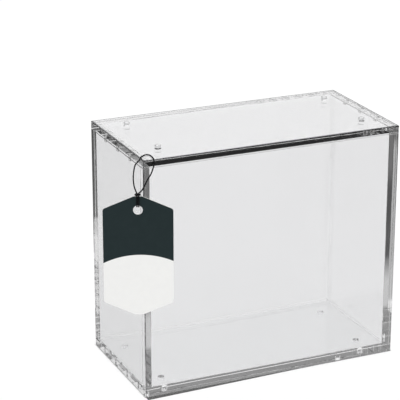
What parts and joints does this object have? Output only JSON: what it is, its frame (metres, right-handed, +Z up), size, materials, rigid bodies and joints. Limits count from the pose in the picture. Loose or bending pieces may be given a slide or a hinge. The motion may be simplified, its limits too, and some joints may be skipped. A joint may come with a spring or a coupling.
{
  "type": "trading card display case",
  "caption": "Clear acrylic box for a boxed set of trading cards, with a magnetic lift-off lid, studs and sockets for stacking, and a blank hang tag on a string loop",
  "frame": {"origin": "centre of the case's underside, on the surface that it stands on", "axes": "+Z up, +X along the case's length, -Y to the front, where the picture was taken from"},
  "size_m": [0.233, 0.1154, 0.186],
  "materials": {
    "clear_acrylic": "gloss",
    "nickel": "polished",
    "card": "matte",
    "string": "matte"
  },
  "bodies": {
    "case": {"base_panel": "clear_acrylic", "front_panel": "clear_acrylic", "back_panel": "clear_acrylic", "left_panel": "clear_acrylic", "right_panel": "clear_acrylic", "wall_magnet_left_front": "nickel", "wall_magnet_left_middle": "nickel", "wall_magnet_left_back": "nickel", "wall_magnet_right_front": "nickel", "wall_magnet_right_middle": "nickel", "wall_magnet_right_back": "nickel"},
    "lid": {"lid_panel": "clear_acrylic", "lid_magnet_left_front": "nickel", "lid_magnet_left_middle": "nickel", "lid_magnet_left_back": "nickel", "lid_magnet_right_front": "nickel", "lid_magnet_right_middle": "nickel", "lid_magnet_right_back": "nickel", "stacking_stud_front_left": "clear_acrylic", "stacking_stud_front_right": "clear_acrylic", "stacking_stud_back_left": "clear_acrylic", "stacking_stud_back_right": "clear_acrylic", "tag_string": "string", "tag_knot": "string"},
    "tag": {"tag_card": "card"}
  },
  "joints": [
    {"name": "lid_lift", "type": "slide", "parent": "case", "child": "lid", "axis": [0, 0, 1], "range_m": [0, 0.2]},
    {"name": "tag_swing", "type": "hinge", "parent": "lid", "child": "tag", "pos_m": [-0.10752, -0.05294, 0.15035], "axis": [-0.4067, -0.9135, 0], "range_deg": [-20, 20]}
  ]
}
